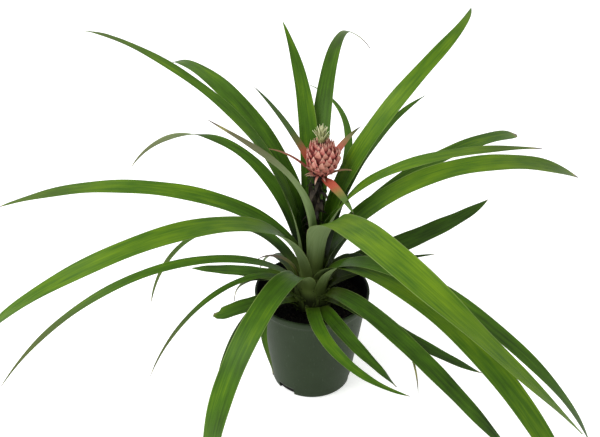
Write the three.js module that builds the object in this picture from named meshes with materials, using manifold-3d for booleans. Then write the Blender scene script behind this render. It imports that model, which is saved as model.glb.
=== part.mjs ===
// Potted pineapple plant: a black-green nursery pot, its soil, a rosette of strap
// leaves on a short stem, and a stalk that carries a small fruit with its crown.
//
// Frame: millimetres, +Z up. The origin is the middle of the pot's flat underside.
// Bearings are compass-like angles in degrees in the XY plane: 0 points along +X
// (right), 90 along +Y (back) and -90 along -Y (front).

import * as THREE from 'three';
import { mergeVertices } from 'three/addons/utils/BufferGeometryUtils.js';
import Module from 'manifold-3d';

// ---------------------------------------------------------------- driving dimensions

const CLEARANCE = 0.3;            // gap kept between pieces that touch

const POT_HEIGHT = 145;
const POT_RIM_RADIUS = 76;        // outside of the rim band
const POT_BASE_RADIUS = 53.5;     // outside of the wall at the floor
const POT_WALL = 1.8;
const POT_FLOOR = 2.6;
const RIM_BAND_HEIGHT = 9;        // depth of the thicker band at the mouth
const RIM_BAND_STEP = 1.6;        // how far the band stands out from the wall
const POT_SIDES = 40;
const NOTCH_BEARINGS = [-130, -10, 110];
const NOTCH_WIDTH = 25;
const NOTCH_HEIGHT = 11;

const SOIL_TOP = 124;             // height of the soil at the wall
const SOIL_DIP = 2;               // how much lower it lies halfway to the stem

const STEM_RADIUS = 14;
const STEM_FOOT = 62;             // the stem's lower end, buried in the soil
const STEM_TOP = 206;
const COLLAR_LOW = 128;           // the lowest leaf springs from here
const COLLAR_RADIUS_LOW = 25;     // radius of stem and clasping leaf bases there
const COLLAR_RADIUS_TOP = 7.5;
const STEM_SIDES = 16;

const STALK_RADIUS = 5.2;
const STALK_TOP = new THREE.Vector3(8.5, 1, 322.5);   // the fruit sits here
const STALK_SIDES = 10;
const STALK_SCALES = 11;          // withered scales that hang on the stalk

const FRUIT_HEIGHT = 43;
const FRUIT_SET_OVER = 3.5;       // how far to the side of its stalk it has grown
const FRUIT_RADIUS = 17.6;        // to the seams between the eyes
const FRUIT_EYES_ROUND = 11;
const FRUIT_ROWS = 9;
const EYE_RELIEF = 2.4;           // how far a whole eye stands out
const EYE_POINT = 1.9;            // how much further its point does

const CROWN_HEIGHT = 22;
const CROWN_CORE_RADIUS = 4.2;
const CROWN_LEAFLETS = 15;

const LEAF_THICK_MIDDLE = 1.7;
const LEAF_THICK_EDGE = 0.9;
const LEAF_TIP_WIDTH = 1.6;
const LEAF_STEP = 27;             // length of one segment along a blade
const TWIST_FROM = 0.55;          // shares of the length over which a blade twists
const TWIST_TO = 0.85;
const HOOK_FROM = 0.86;           // share from which a dried tip curls
const BRACT_STEP = 13;
const BRACT_TAPER = 2.4;
const BRACT_DROP = 6;             // how far below the fruit the bracts spring

// Leaves, from the innermost and highest to the lowest and outermost.
// name, bearing, root height, rise, droop, bend, length, swing, width, taper, roll
//   rise, droop  slope in degrees at the root and at the tip
//   bend         below 1 the blade bends early, above 1 it bends late
//   swing        degrees by which the blade turns sideways by its tip
//   taper        1 narrows all the way, 8 keeps its width almost to the tip
//   roll         degrees by which it leans over about its own length
const LEAVES = [
  ['leaf_inner_pale', -24, 202, 88, 36, 1.9, 92, 5, 12, 2.4, 10],
  ['leaf_inner_front', -88, 200, 62, 10, 4.08, 327, -130, 9.8, 6, -16],
  ['leaf_inner_sliver', 147, 199, 88, 58, 2, 70, 4, 7, 2.4, 0],
  ['leaf_back_upright', 91, 196, 86, 52, 0.47, 302, 38, 27, 3.2, 3],
  ['leaf_back_curled_tip', 83, 193, 74, -52, 1.92, 418, -14, 29, 1.8, -2],
  ['leaf_left_upper', 179, 190, 82, -25, 0.49, 436, -8, 25.5, 4, 15],
  ['leaf_back_left_wide', 150, 188, 88, -34, 1.31, 403, -36, 31, 3, 11],
  ['leaf_front_right_large', -79, 184, 88, -41, 0.7, 574, 58, 37, 5, -12],
  ['leaf_right_narrow', -41, 182, 88, -21, 1.1, 397, 74, 23, 2.4, -16],
  ['leaf_back_right_long', 10, 182, 88, -6, 1.21, 447, 69, 33, 2.2, -10],
  ['leaf_back_left_long', 186, 178, 88, -18, 1.35, 486, -59, 27, 1.2, 14],
  ['leaf_back_small', 66, 176, 72, 2, 0.34, 352, 72, 14, 2.4, -1],
  ['leaf_left_arching', 136, 172, 87, -59, 0.97, 391, 35, 22, 1.3, 13],
  ['leaf_right_wide', 9, 172, 88, -34, 0.67, 426, 15, 29, 14, -14],
  ['leaf_left_main', -133, 172, 88, -58, 0.72, 563, -70, 29, 4, 14],
  ['leaf_front_right_second', -47, 170, 88, -62, 0.43, 529, 7, 34, 4, -12],
  ['leaf_back_right_dark', 30, 166, 87, 3, 1.37, 293, 15, 20, 2.4, -9],
  ['leaf_left_dried', 177, 164, 78, -43, 1.24, 74, 0, 6, 2.4, 14],
  ['leaf_right_torn', 25, 163, 83, -21, 0.64, 386, 21, 21, 40, -13],
  ['leaf_left_narrow', -159, 160, 58, -52, 0.71, 448, 4, 14, 3.6, 14],
  ['leaf_right_shade', 5, 160, 75, -43, 1.25, 80, -7, 17, 2.4, -12],
  ['leaf_right_lower', 17, 158, 30, 3, 0.41, 265, 30, 31, 3.2, -13],
  ['leaf_front_right_far', -51, 152, 88, -67, 0.64, 501, 51, 23, 4, -14],
  ['leaf_front_left_bright', -114, 156, 88, -100, 0.62, 396, -25, 30, 7, 7],
  ['leaf_left_short', 174, 152, 47, -12, 0.31, 148, -15, 19, 4, 14],
  ['leaf_right_shade_low', -11, 150, 70, -50, 1.34, 84, -7, 18, 2.4, -13],
  ['leaf_left_hanging', 131, 146, 88, -63, 0.44, 331, 122, 15, 2.4, 15],
  ['leaf_right_tiny', 14, 146, 31, -9, 0.71, 156, 8, 12, 2.4, -13],
  ['leaf_front_right_low', -49, 146, 88, -49, 0.28, 346, 35, 25, 5, -11],
  ['leaf_back_low', 88, 144, 62, -70, 0.8, 190, 12, 20, 2.4, 0],
  ['leaf_left_low_narrow', -143, 142, 88, -62, 0.66, 287, 2, 9.5, 2.4, 13],
  ['leaf_front_left_dark', -132, 140, 68, -76, 0.71, 219, 13, 18, 2.4, 10],
  ['leaf_right_under', -41, 141, 36, -29, 0.38, 234, 46, 18, 5, -13],
  ['leaf_back_low_right', 52, 138, 52, -72, 0.8, 130, -10, 18, 2.4, 0],
  ['leaf_back_low_left', 122, 136, 50, -70, 0.75, 135, 8, 19, 2.4, 0],
  ['leaf_left_blunt', -149, 136, 46, -18, 0.53, 123, -21, 22, 14, 12],
  ['leaf_left_dark_tip', 172, 136, 50, -94, 1.17, 113, 1, 11, 2.4, 12],
  ['leaf_right_thin', -38, 134, 42, -73, 1.05, 213, -43, 6, 2.4, -10],
  ['leaf_over_rim', -90, 131, 53, -29, 0.56, 246, 106, 18, 2.4, -9],
  ['leaf_over_rim_right', -74, 131, 46, -56, 0.8, 186, 80, 20, 3.5, -8],
  ['leaf_beside_pot', -138, 129, 58, -89, 0.97, 158, 130, 11, 2.4, 5],
];

// Degrees by which a blade turns over about its own length, halfway out.
const TWISTS = { leaf_left_arching: -115, leaf_inner_front: -70, leaf_front_right_large: 26 };

// Degrees by which a dried tip curls sideways.
const HOOKS = { leaf_back_curled_tip: -94, leaf_left_blunt: -70 };

// Bracts that spring from the top of the stalk, in the same terms.
// name, bearing, rise, droop, bend, length, swing, width, roll
const BRACTS = [
  ['bract_left_thin', 156, 42, -9, 1.2, 75, 2, 4.5, 10],
  ['bract_left_up', 134, 50, 27, 0.94, 138, 7, 10, 11],
  ['bract_right_up', 47, 48, 23, 1.1, 78, -15, 11, -11],
  ['bract_right_thin', 7, 34, -27, 1.2, 42, -2, 4.5, -10],
  ['bract_front_long', -55, 7, -37, 0.87, 66, 2, 13, -10],
];

// ---------------------------------------------------------------- small helpers

const wasm = await Module();
wasm.setup();

const radians = THREE.MathUtils.degToRad;

function positionsOnly(geometry) {
  const bare = geometry.clone();
  for (const name of Object.keys(bare.attributes)) {
    if (name !== 'position') bare.deleteAttribute(name);
  }
  return mergeVertices(bare, 1e-4);
}

function toSolid(geometry) {
  const merged = positionsOnly(geometry);
  return new wasm.Manifold(new wasm.Mesh({
    numProp: 3,
    vertProperties: new Float32Array(merged.attributes.position.array),
    triVerts: new Uint32Array(merged.index.array),
  }));
}

function toGeometry(solid) {
  const mesh = solid.getMesh();
  const geometry = new THREE.BufferGeometry();
  geometry.setAttribute('position', new THREE.BufferAttribute(mesh.vertProperties, 3));
  geometry.setIndex(new THREE.BufferAttribute(mesh.triVerts, 1));
  return geometry;
}

// The largest piece of a solid: what a cut leaves loose beside it is dropped.
function largestPiece(solid) {
  const pieces = solid.decompose();
  return pieces.reduce((best, piece) => (piece.volume() > best.volume() ? piece : best));
}

// A LatheGeometry turns about Y; this stands it up along Z.
function latheZ(profile, sides) {
  const points = profile.map(([r, z]) => new THREE.Vector2(r, z));
  const geometry = new THREE.LatheGeometry(points, sides);
  return geometry.rotateX(Math.PI / 2);
}

// ---------------------------------------------------------------- leaves

// Radius of the stem with the leaf bases that clasp it, at a height.
function collarRadius(height) {
  const share = THREE.MathUtils.clamp((height - COLLAR_LOW) / (STEM_TOP - COLLAR_LOW), 0, 1);
  return THREE.MathUtils.lerp(COLLAR_RADIUS_LOW, COLLAR_RADIUS_TOP, share);
}

// Stations along a blade: its point, its sideways and its upper-face directions.
function bladeStations(route, count) {
  const { start, bearing, rise, droop, bend, length, swing, roll, twist = 0, hook = 0 } = route;
  const slopeAt = (share) => radians(rise + (droop - rise) * share ** bend);
  const turnAt = (share) => radians(
    bearing + swing * share ** 2 + hook * THREE.MathUtils.smoothstep(share, HOOK_FROM, 1));
  const fine = 10;
  const point = start.clone();
  const stations = [];
  for (let i = 0; i <= count * fine; i += 1) {
    const share = i / (count * fine);
    const slope = slopeAt(share);
    const turn = turnAt(share);
    if (i % fine === 0) {
      const side = new THREE.Vector3(-Math.sin(turn), Math.cos(turn), 0);
      const up = new THREE.Vector3(
        -Math.sin(slope) * Math.cos(turn), -Math.sin(slope) * Math.sin(turn), Math.cos(slope));
      const along = new THREE.Vector3().crossVectors(side, up);
      const lean = -radians(roll * THREE.MathUtils.smoothstep(share, 0, 0.3)
        + twist * THREE.MathUtils.smoothstep(share, TWIST_FROM, TWIST_TO));
      side.applyAxisAngle(along, lean);
      up.applyAxisAngle(along, lean);
      stations.push({ share, point: point.clone(), side, up });
    }
    const middle = (i + 0.5) / (count * fine);
    const midSlope = slopeAt(middle);
    const midTurn = turnAt(middle);
    point.addScaledVector(new THREE.Vector3(
      Math.cos(midSlope) * Math.cos(midTurn),
      Math.cos(midSlope) * Math.sin(midTurn),
      Math.sin(midSlope)), length / (count * fine));
  }
  return stations;
}

// Share of the full width at a share of the length: a clasping base, then a long taper.
function widthShare(share, baseShare, taper) {
  const swell = THREE.MathUtils.smoothstep(share, 0, 0.22);
  return THREE.MathUtils.lerp(baseShare, 1, swell) * (1 - share ** taper) ** 0.8;
}

// A blade as one closed body: each section has three points on the upper face and the
// same three on the lower, and both faces are split along the same diagonals.
function bladeGeometry(stations, { width, taper, baseShare, baseCup, tipCup }, grow = 0) {
  const vertices = [];
  stations.forEach(({ share, point, side, up }) => {
    const half = Math.max(width * widthShare(share, baseShare, taper), LEAF_TIP_WIDTH) / 2;
    const cup = half * THREE.MathUtils.lerp(baseCup, tipCup, Math.min(1, share * 3));
    const thin = THREE.MathUtils.lerp(1, 0.75, share);
    const across = [-1, 0, 1];
    for (const face of [1, -1]) {
      for (const place of face > 0 ? across : [...across].reverse()) {
        const edge = Math.abs(place);
        const thick = thin * (edge ? LEAF_THICK_EDGE : LEAF_THICK_MIDDLE) / 2 + grow;
        const spot = point.clone()
          .addScaledVector(side, place * (half + grow))
          .addScaledVector(up, edge * cup + face * thick);
        vertices.push(spot.x, spot.y, spot.z);
      }
    }
  });
  const index = [];
  const ring = 6;
  for (let i = 0; i + 1 < stations.length; i += 1) {
    for (let k = 0; k < ring; k += 1) {
      const a = i * ring + k;
      const b = i * ring + ((k + 1) % ring);
      const c = a + ring;
      const d = b + ring;
      if (k < 3) index.push(a, c, b, b, c, d);
      else index.push(a, c, d, a, d, b);
    }
  }
  const last = (stations.length - 1) * ring;
  index.push(0, 1, 4, 0, 4, 5, 1, 2, 3, 1, 3, 4);
  index.push(last, last + 4, last + 1, last, last + 5, last + 4);
  index.push(last + 1, last + 3, last + 2, last + 1, last + 4, last + 3);
  const geometry = new THREE.BufferGeometry();
  geometry.setAttribute('position', new THREE.Float32BufferAttribute(vertices, 3));
  geometry.setIndex(index);
  return geometry;
}

// How far a root's middle lies from what it seats on, for its upper face to clear it.
function seatGap(rise) {
  return CLEARANCE + (LEAF_THICK_MIDDLE / 2) * Math.sin(radians(rise));
}

function bladeFromStations(stations, width, taper, rootRadius) {
  const baseHalf = Math.min(width * 0.5, rootRadius * 0.7);
  const baseCup = (rootRadius - Math.sqrt(rootRadius ** 2 - baseHalf ** 2)) / baseHalf;
  const baseShare = (2 * baseHalf) / width;
  return { stations, shape: { width, taper, baseShare, baseCup, tipCup: 0.12 } };
}

function leafFromRow(row) {
  const [name, bearing, root, rise, droop, bend, length, swing, width, taper, roll] = row;
  const twist = TWISTS[name] ?? 0;
  const hook = HOOKS[name] ?? 0;
  const rootRadius = collarRadius(root) + seatGap(rise);
  const start = new THREE.Vector3(
    rootRadius * Math.cos(radians(bearing)), rootRadius * Math.sin(radians(bearing)), root);
  const route = { start, bearing, rise, droop, bend, length, swing, roll, twist, hook };
  const stations = bladeStations(route, Math.round(length / LEAF_STEP));
  return { name, ...bladeFromStations(stations, width, taper, rootRadius) };
}

function bractFromRow([name, bearing, rise, droop, bend, length, swing, width, roll]) {
  const rootRadius = STALK_RADIUS + seatGap(rise);
  const start = new THREE.Vector3(
    rootRadius * Math.cos(radians(bearing)), rootRadius * Math.sin(radians(bearing)), -BRACT_DROP);
  start.add(STALK_TOP);
  const route = { start, bearing, rise, droop, bend, length, swing, roll };
  const stations = bladeStations(route, Math.max(4, Math.round(length / BRACT_STEP)));
  return { name, ...bladeFromStations(stations, width, BRACT_TAPER, rootRadius) };
}

// ---------------------------------------------------------------- pot, soil and stem

// Outside radius of the pot's wall, below its rim band.
function potRadius(height) {
  return THREE.MathUtils.lerp(POT_BASE_RADIUS, POT_RIM_RADIUS - RIM_BAND_STEP, height / POT_HEIGHT);
}

function potSolid() {
  const bandFoot = POT_HEIGHT - RIM_BAND_HEIGHT;
  const profile = [
    [0, 0],
    [POT_BASE_RADIUS - 1.5, 0],
    [potRadius(1.5), 1.5],
    [potRadius(bandFoot), bandFoot],
    [POT_RIM_RADIUS - 0.4, bandFoot + 1],
    [POT_RIM_RADIUS, POT_HEIGHT - 1],
    [POT_RIM_RADIUS - 1, POT_HEIGHT],
    [POT_RIM_RADIUS - RIM_BAND_STEP - POT_WALL + 0.6, POT_HEIGHT],
    [potRadius(POT_HEIGHT - 1) - POT_WALL, POT_HEIGHT - 1],
    [potRadius(POT_FLOOR) - POT_WALL, POT_FLOOR],
    [0, POT_FLOOR],
  ];
  const shell = toSolid(latheZ(profile, POT_SIDES));
  const depth = 16;
  return NOTCH_BEARINGS.reduce((pot, bearing) => {
    const notch = new THREE.BoxGeometry(depth, NOTCH_WIDTH, 2 * NOTCH_HEIGHT);
    notch.translate(POT_BASE_RADIUS, 0, 0);
    notch.rotateZ(radians(bearing));
    return pot.subtract(toSolid(notch));
  }, shell);
}

function soilSolid() {
  const foot = POT_FLOOR + CLEARANCE;
  const side = POT_WALL + CLEARANCE / Math.cos(Math.PI / POT_SIDES);
  const profile = [
    [0, foot],
    [potRadius(foot) - side, foot],
    [potRadius(SOIL_TOP) - side, SOIL_TOP],
    [(potRadius(SOIL_TOP) + STEM_RADIUS) / 2, SOIL_TOP - SOIL_DIP],
    [STEM_RADIUS, SOIL_TOP],
    [0, SOIL_TOP],
  ];
  const plug = toSolid(latheZ(profile, POT_SIDES));
  return plug.subtract(toSolid(stemGeometry(CLEARANCE)));
}

// The short stem, buried at its foot, with the collar of leaf bases that clasp it.
function stemGeometry(grow = 0) {
  const profile = [
    [0, STEM_FOOT - grow],
    [STEM_RADIUS * 0.6 + grow, STEM_FOOT - grow],
    [STEM_RADIUS + grow, STEM_FOOT + 14],
    [STEM_RADIUS + grow, COLLAR_LOW - 3.5],
    [collarRadius(COLLAR_LOW) + grow, COLLAR_LOW - grow],
    [collarRadius(COLLAR_LOW + 26) + grow, COLLAR_LOW + 26],
    [collarRadius(COLLAR_LOW + 52) + grow, COLLAR_LOW + 52],
    [collarRadius(STEM_TOP) + grow, STEM_TOP + grow],
    [0, STEM_TOP + grow],
  ];
  return latheZ(profile, STEM_SIDES);
}

// ---------------------------------------------------------------- stalk, fruit and crown

// A repeatable stream of numbers between 0 and 1.
function seededRandom(seed) {
  let state = seed;
  return () => {
    state = (state * 16807) % 2147483647;
    return state / 2147483647;
  };
}

// A small blade that springs from a point; its root is sunk into what carries it.
function smallBlade({ start, bearing, rise, droop, bend, length, width, steps }, grow = 0) {
  const route = { start, bearing, rise, droop, bend, length, swing: 0, roll: 0 };
  const stations = bladeStations(route, steps);
  const shape = { width, taper: BRACT_TAPER, baseShare: 0.9, baseCup: 0.25, tipCup: 0.2 };
  return toSolid(bladeGeometry(stations, shape, grow));
}

function stalkSolid(grow = 0) {
  const random = seededRandom(7);
  const foot = new THREE.Vector3(0, 0, STEM_TOP + CLEARANCE);
  const middle = new THREE.Vector3(2.2, 0, (STEM_TOP + STALK_TOP.z) / 2);
  const curve = new THREE.CatmullRomCurve3([foot, middle, STALK_TOP]);
  const section = new THREE.Shape().absarc(0, 0, STALK_RADIUS + grow, 0, 2 * Math.PI);
  const tube = new THREE.ExtrudeGeometry(section, {
    steps: 8, curveSegments: STALK_SIDES, extrudePath: curve, bevelEnabled: false });
  let stalk = toSolid(tube);
  for (let i = 0; i < STALK_SCALES; i += 1) {
    const share = 0.3 + (0.6 * i) / (STALK_SCALES - 1);
    const bearing = i * 137.5;
    const start = curve.getPoint(share);
    start.x += (STALK_RADIUS - 1.8) * Math.cos(radians(bearing));
    start.y += (STALK_RADIUS - 1.8) * Math.sin(radians(bearing));
    stalk = stalk.add(smallBlade({
      start, bearing, rise: 60, droop: -70, bend: 0.6, width: 5.5 + 2 * random(),
      length: 17 + 8 * random(), steps: 4 }, grow));
  }
  return stalk;
}

// Radius of the fruit at a share of its height, without its eyes.
function fruitRadius(share) {
  return FRUIT_RADIUS * Math.sin(Math.PI * THREE.MathUtils.clamp(share, 0.001, 0.999)) ** 0.62;
}

// A net of diamonds: every second node is the point of an eye, the others are corners
// where four eyes meet. Between them each eye has a raised shoulder.
function fruitGeometry(grow = 0) {
  const columns = 2 * FRUIT_EYES_ROUND;
  const levels = FRUIT_ROWS;
  const vertices = [];
  const index = [];
  const base = STALK_TOP.clone().add(new THREE.Vector3(FRUIT_SET_OVER, 0, CLEARANCE));
  const spot = (column, level, out, up) => {
    const turn = (2 * Math.PI * column) / columns;
    const share = level / (levels + 1);
    const radius = fruitRadius(share) + out + grow;
    vertices.push(base.x + radius * Math.cos(turn), base.y + radius * Math.sin(turn),
      base.z + FRUIT_HEIGHT * share + up);
    return vertices.length / 3 - 1;
  };
  const isEye = (column, level) => (column + level) % 2 === 0;
  const nodes = [];
  for (let level = 1; level <= levels; level += 1) {
    const row = [];
    for (let column = 0; column < columns; column += 1) {
      const high = level / (levels + 1);
      row.push(isEye(column, level)
        ? spot(column, level, EYE_RELIEF + EYE_POINT * (0.5 + high), 1 + 2.4 * high)
        : spot(column, level, 0, 0));
    }
    nodes.push(row);
  }
  const shoulders = new Map();
  const shoulder = (column, level, fromColumn, fromLevel) => {
    const key = [column % columns, level, fromColumn - column, fromLevel].join();
    if (!shoulders.has(key)) {
      const reach = 0.42;
      shoulders.set(key, spot(
        column + (fromColumn - column) * reach, level + (fromLevel - level) * reach,
        EYE_RELIEF, 0.2));
    }
    return shoulders.get(key);
  };
  const node = (column, level) => nodes[level - 1][column % columns];
  // one triangle of a diamond: eye, then two corners in the order of an outward face
  const addEyeTriangle = (eye, first, second) => {
    const [e, a, b] = [eye, first, second].map(([column, level]) => node(column, level));
    const nearA = shoulder(...eye, ...first);
    const nearB = shoulder(...eye, ...second);
    index.push(e, nearA, nearB, nearA, a, b, nearA, b, nearB);
  };
  for (let level = 1; level < levels; level += 1) {
    for (let column = 0; column < columns; column += 1) {
      const a = [column, level];
      const b = [column + 1, level];
      const c = [column + 1, level + 1];
      const d = [column, level + 1];
      if (isEye(column, level)) {
        addEyeTriangle(a, b, d);
        addEyeTriangle(c, d, b);
      } else {
        addEyeTriangle(b, c, a);
        addEyeTriangle(d, a, c);
      }
    }
  }
  const south = vertices.length / 3;
  vertices.push(base.x, base.y, base.z);
  const north = south + 1;
  vertices.push(base.x, base.y, base.z + FRUIT_HEIGHT);
  // the edge between two nodes of an end row runs over the shoulder of its eye
  const between = (column, level) => (isEye(column, level)
    ? shoulder(column, level, column + 1, level)
    : shoulder(column + 1, level, column, level));
  for (let column = 0; column < columns; column += 1) {
    const low = [node(column, 1), between(column, 1), node(column + 1, 1)];
    const high = [node(column, levels), between(column, levels), node(column + 1, levels)];
    index.push(south, low[1], low[0], south, low[2], low[1]);
    index.push(north, high[0], high[1], north, high[1], high[2]);
  }
  const geometry = new THREE.BufferGeometry();
  geometry.setAttribute('position', new THREE.Float32BufferAttribute(vertices, 3));
  geometry.setIndex(index);
  return geometry;
}

function crownSolid() {
  const random = seededRandom(11);
  const foot = STALK_TOP.clone();
  foot.x += 1;
  foot.z += FRUIT_HEIGHT + 2 * CLEARANCE;
  const core = latheZ([[0, 0], [CROWN_CORE_RADIUS, 0], [CROWN_CORE_RADIUS, 3],
    [CROWN_CORE_RADIUS * 0.5, CROWN_HEIGHT * 0.5], [0, CROWN_HEIGHT * 0.62]], 8);
  core.translate(foot.x, foot.y, foot.z);
  let crown = toSolid(core);
  for (let i = 0; i < CROWN_LEAFLETS; i += 1) {
    const inner = i / (CROWN_LEAFLETS - 1);
    const bearing = i * 137.5;
    const radius = CROWN_CORE_RADIUS * THREE.MathUtils.lerp(0.7, 0.25, inner);
    const start = foot.clone().add(new THREE.Vector3(
      radius * Math.cos(radians(bearing)), radius * Math.sin(radians(bearing)), 0.8 + 5 * inner));
    crown = crown.add(smallBlade({
      start, bearing, rise: THREE.MathUtils.lerp(62, 86, inner),
      droop: THREE.MathUtils.lerp(48, 84, inner), bend: 1, width: 5.4 - 1.2 * inner,
      length: (0.62 + 0.16 * inner + 0.14 * random()) * CROWN_HEIGHT, steps: 3 }));
  }
  return crown;
}

// ---------------------------------------------------------------- the whole plant

const COLOURS = {
  pot: [0x3d4b39, 0.55],
  soil: [0x14120f, 0.95],
  stem: [0x5f6e37, 0.6],
  stalk: [0x3a2a22, 0.8],
  fruit: [0xcd8278, 0.55],
  crown: [0xa5a56e, 0.6],
  bract: [0xb06040, 0.55],
  leaf: [0x4f7d1e, 0.45],
};

const group = new THREE.Group();

function addPiece(name, geometry, [color, roughness]) {
  const material = new THREE.MeshStandardMaterial({ color, roughness, metalness: 0 });
  const mesh = new THREE.Mesh(geometry, material);
  mesh.name = name;
  group.add(mesh);
}

// Each blade gives way to the stalk, the fruit and the blades inside it.
function addBlades(rows, colour, placed) {
  for (const { name, stations, shape } of rows) {
    const whole = toSolid(bladeGeometry(stations, shape));
    const cut = placed.reduce((blade, neighbour) => blade.subtract(neighbour), whole);
    addPiece(name, toGeometry(largestPiece(cut)), colour);
    placed.push(toSolid(bladeGeometry(stations, shape, CLEARANCE)));
  }
}

addPiece('pot', toGeometry(potSolid()), COLOURS.pot);
addPiece('soil', toGeometry(soilSolid()), COLOURS.soil);
addPiece('stem', positionsOnly(stemGeometry()), COLOURS.stem);
addPiece('stalk', toGeometry(stalkSolid()), COLOURS.stalk);
addPiece('fruit', fruitGeometry(), COLOURS.fruit);
addPiece('crown', toGeometry(crownSolid()), COLOURS.crown);

const placed = [
  toSolid(stemGeometry(CLEARANCE)),
  stalkSolid(CLEARANCE),
  toSolid(fruitGeometry(CLEARANCE)),
];
addBlades(LEAVES.map(leafFromRow), COLOURS.leaf, placed);
addBlades(BRACTS.map(bractFromRow), COLOURS.bract, placed);

export default group;
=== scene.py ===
# %% [markdown]
# # A potted pineapple plant
# The plant is a young ornamental pineapple: a rosette of long strap leaves on a short
# stem, and in its middle a stalk that carries one small pink fruit with a pale crown.
# It stands in a plain nursery pot. Every piece here is worked out from a few measures,
# so each cell starts with those measures and then turns them into a surface.
# All lengths are written in millimetres and turned into metres when a mesh is made.

# %% Load the fixed frame and measure it
"""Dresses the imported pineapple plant. Leaves, bracts, eyes and strands are blades: thin
lenses carried along a path. Pot, stem and soil are lathed: radii turned round an axis."""
import math

import bpy
import numpy as np
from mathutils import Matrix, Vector


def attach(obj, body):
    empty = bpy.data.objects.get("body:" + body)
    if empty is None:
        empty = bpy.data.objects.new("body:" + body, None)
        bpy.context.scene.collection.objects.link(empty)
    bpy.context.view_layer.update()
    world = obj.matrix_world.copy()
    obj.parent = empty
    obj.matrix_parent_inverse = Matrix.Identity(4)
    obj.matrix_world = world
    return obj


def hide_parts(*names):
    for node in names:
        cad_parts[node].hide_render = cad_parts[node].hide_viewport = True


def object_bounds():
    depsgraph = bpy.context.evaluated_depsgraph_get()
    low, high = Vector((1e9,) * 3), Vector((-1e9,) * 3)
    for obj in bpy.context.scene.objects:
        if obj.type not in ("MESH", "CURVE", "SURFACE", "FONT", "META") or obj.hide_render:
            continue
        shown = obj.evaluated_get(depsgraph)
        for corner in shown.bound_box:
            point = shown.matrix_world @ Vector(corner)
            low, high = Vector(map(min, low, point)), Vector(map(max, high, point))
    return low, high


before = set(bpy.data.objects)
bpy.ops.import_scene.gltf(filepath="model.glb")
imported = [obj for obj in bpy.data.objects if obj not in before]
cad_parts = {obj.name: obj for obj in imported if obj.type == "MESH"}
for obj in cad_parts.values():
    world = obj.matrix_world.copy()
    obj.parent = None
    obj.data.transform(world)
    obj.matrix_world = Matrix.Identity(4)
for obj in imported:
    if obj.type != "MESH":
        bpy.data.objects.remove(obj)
cad_low, cad_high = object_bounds()
MM = 0.001
print("frame", len(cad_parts), "nodes,", tuple(round(v, 3) for v in cad_high - cad_low), "m")

# %% [markdown]
# ## The camera
# The plant is seen from above its front, as someone standing at a table sees it. A wide
# lens close by would swell the near leaves, so this is a short telephoto further off.

# %% Camera
CAMERA_PLACE = (-16.1, -1032.7, 934.5)
CAMERA_DOWN = 33.3  # degrees below the horizon
SENSOR_WIDTH = 36.0
LENS = 58.8

camera_data = bpy.data.cameras.new("camera")
camera_data.sensor_width = SENSOR_WIDTH
camera_data.lens = LENS
camera = bpy.data.objects.new("camera", camera_data)
camera.location = Vector(CAMERA_PLACE) * MM
camera.rotation_euler = (math.radians(90 - CAMERA_DOWN), 0, 0)
bpy.context.scene.collection.objects.link(camera)
bpy.context.scene.camera = camera
print("camera", tuple(camera.location))

# %% [markdown]
# ## Tools for surfaces
# A leaf could be pulled into shape by hand, but forty of them that must also fit a frame
# are easier to work out. Nearly everything here is a grid of points with rows along the
# piece and columns round it. One function skins such a grid, and one puts the result
# into a mesh in metres, with the numbers that its material needs kept beside each point.

# %% Skin a grid
def skin(grid):
    """Faces of a grid (rows, columns, 3) that closes round its columns: a quad between
    every two neighbours, and one flat face that closes each end."""
    rows, columns = grid.shape[:2]
    index = np.arange(rows * columns).reshape(rows, columns)
    beside = np.roll(index, -1, axis=1)
    quads = np.stack([index[:-1], beside[:-1], beside[1:], index[1:]], axis=-1)
    return quads.reshape(-1, 4), np.stack([index[0, ::-1], index[-1]])


print("3 by 8 points:", len(skin(np.zeros((3, 8, 3)))[0]), "quads")

# %% Make a piece
def add_piece(name, parts, material, stands_for=()):
    """One mesh from several parts, each (grid, numbers), with the numbers kept as float
    attributes of the same names; the piece rides on the plant's one body."""
    points, faces, count = [], [], 0
    for grid, _ in parts:
        for group in skin(grid):
            faces += (group + count).tolist()
        points.append(grid.reshape(-1, 3))
        count += grid.shape[0] * grid.shape[1]
    # a fine mesh can bulge past a coarse one: nothing may leave the frame's own box
    points = np.clip(np.concatenate(points) * MM, np.array(cad_low), np.array(cad_high))
    mesh = bpy.data.meshes.new(name)
    mesh.from_pydata(points.tolist(), [], faces)
    for key in parts[0][1]:
        values = [np.broadcast_to(numbers[key], grid.shape[:2]).ravel() for grid, numbers in parts]
        attribute = mesh.attributes.new(key, "FLOAT", "POINT")
        attribute.data.foreach_set("value", np.concatenate(values).astype(np.float32))
    mesh.shade_smooth()
    mesh.materials.append(material)
    piece = bpy.data.objects.new(name, mesh)
    bpy.context.scene.collection.objects.link(piece)
    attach(piece, "root")
    if stands_for:
        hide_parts(*stands_for)
    return piece


def triangles(piece):
    """A face of n corners makes n - 2 triangles."""
    return sum(len(polygon.vertices) - 2 for polygon in piece.data.polygons)


print("pieces stay between", tuple(cad_low), "and", tuple(cad_high))

# %% From one value to another
def smoothstep(x, low, high):
    """0 below low, 1 above high, and an even curve between them."""
    t = np.clip((x - low) / (high - low), 0, 1)
    return t * t * (3 - 2 * t)


def lerp(a, b, t):
    """From a to b as t goes from 0 to 1."""
    return a + (b - a) * t


print("a quarter of the way:", lerp(0, 1, 0.25), "or", smoothstep(0.25, 0, 1))

# %% Turns and repeatable chances
GOLDEN_ANGLE = 137.5  # degrees between one leaf and the next in a spiral
CHANCE_STEPS = (12.9898, 78.233, 37.719)
CHANCE_GAIN = 43758.5453


def full_turn(count):
    """Angles in radians, evenly spaced once round."""
    return np.arange(count) * 2 * math.pi / count


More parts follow.
